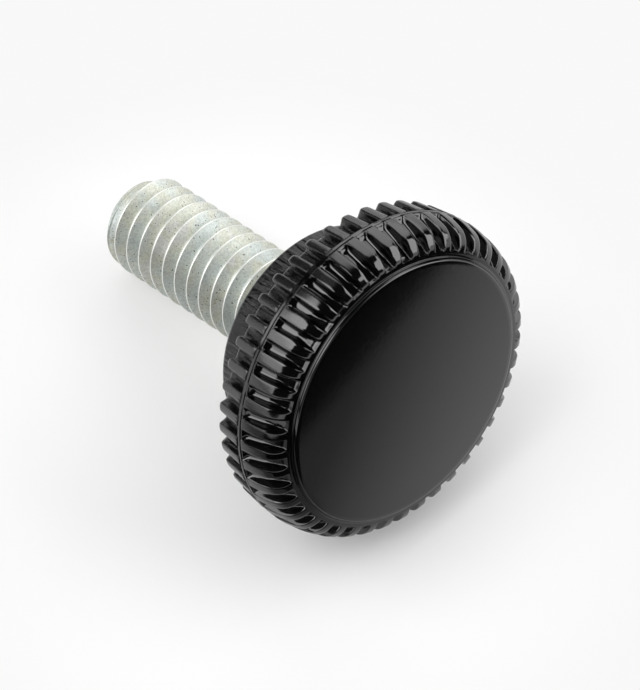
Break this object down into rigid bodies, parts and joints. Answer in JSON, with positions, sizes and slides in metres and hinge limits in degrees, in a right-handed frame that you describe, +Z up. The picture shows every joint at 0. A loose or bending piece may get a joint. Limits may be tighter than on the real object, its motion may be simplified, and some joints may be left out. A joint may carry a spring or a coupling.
{
  "type": "knurled clamping knob",
  "caption": "Round black moulded clamping knob with a flat face, a knurled rim and a smooth rear collar on a zinc-plated threaded stud, for hand tightening.",
  "frame": {"origin": "on the ground, under the middle of the box round the lying knob", "axes": "+Z up, +X the way the flat face looks and -X the way the stud points, both tilted so that the knob rests on the back of its rim and the stud's tip"},
  "size_m": [0.0338, 0.026, 0.0254],
  "materials": {
    "black_moulding": "glossy black phenolic moulding with a satin flat face",
    "zinc_plated_steel": "bright zinc plating with pale green and yellow tints and fine specks"
  },
  "bodies": {
    "root": {"knob_head": "black_moulding", "threaded_stud": "zinc_plated_steel"}
  },
  "joints": []
}
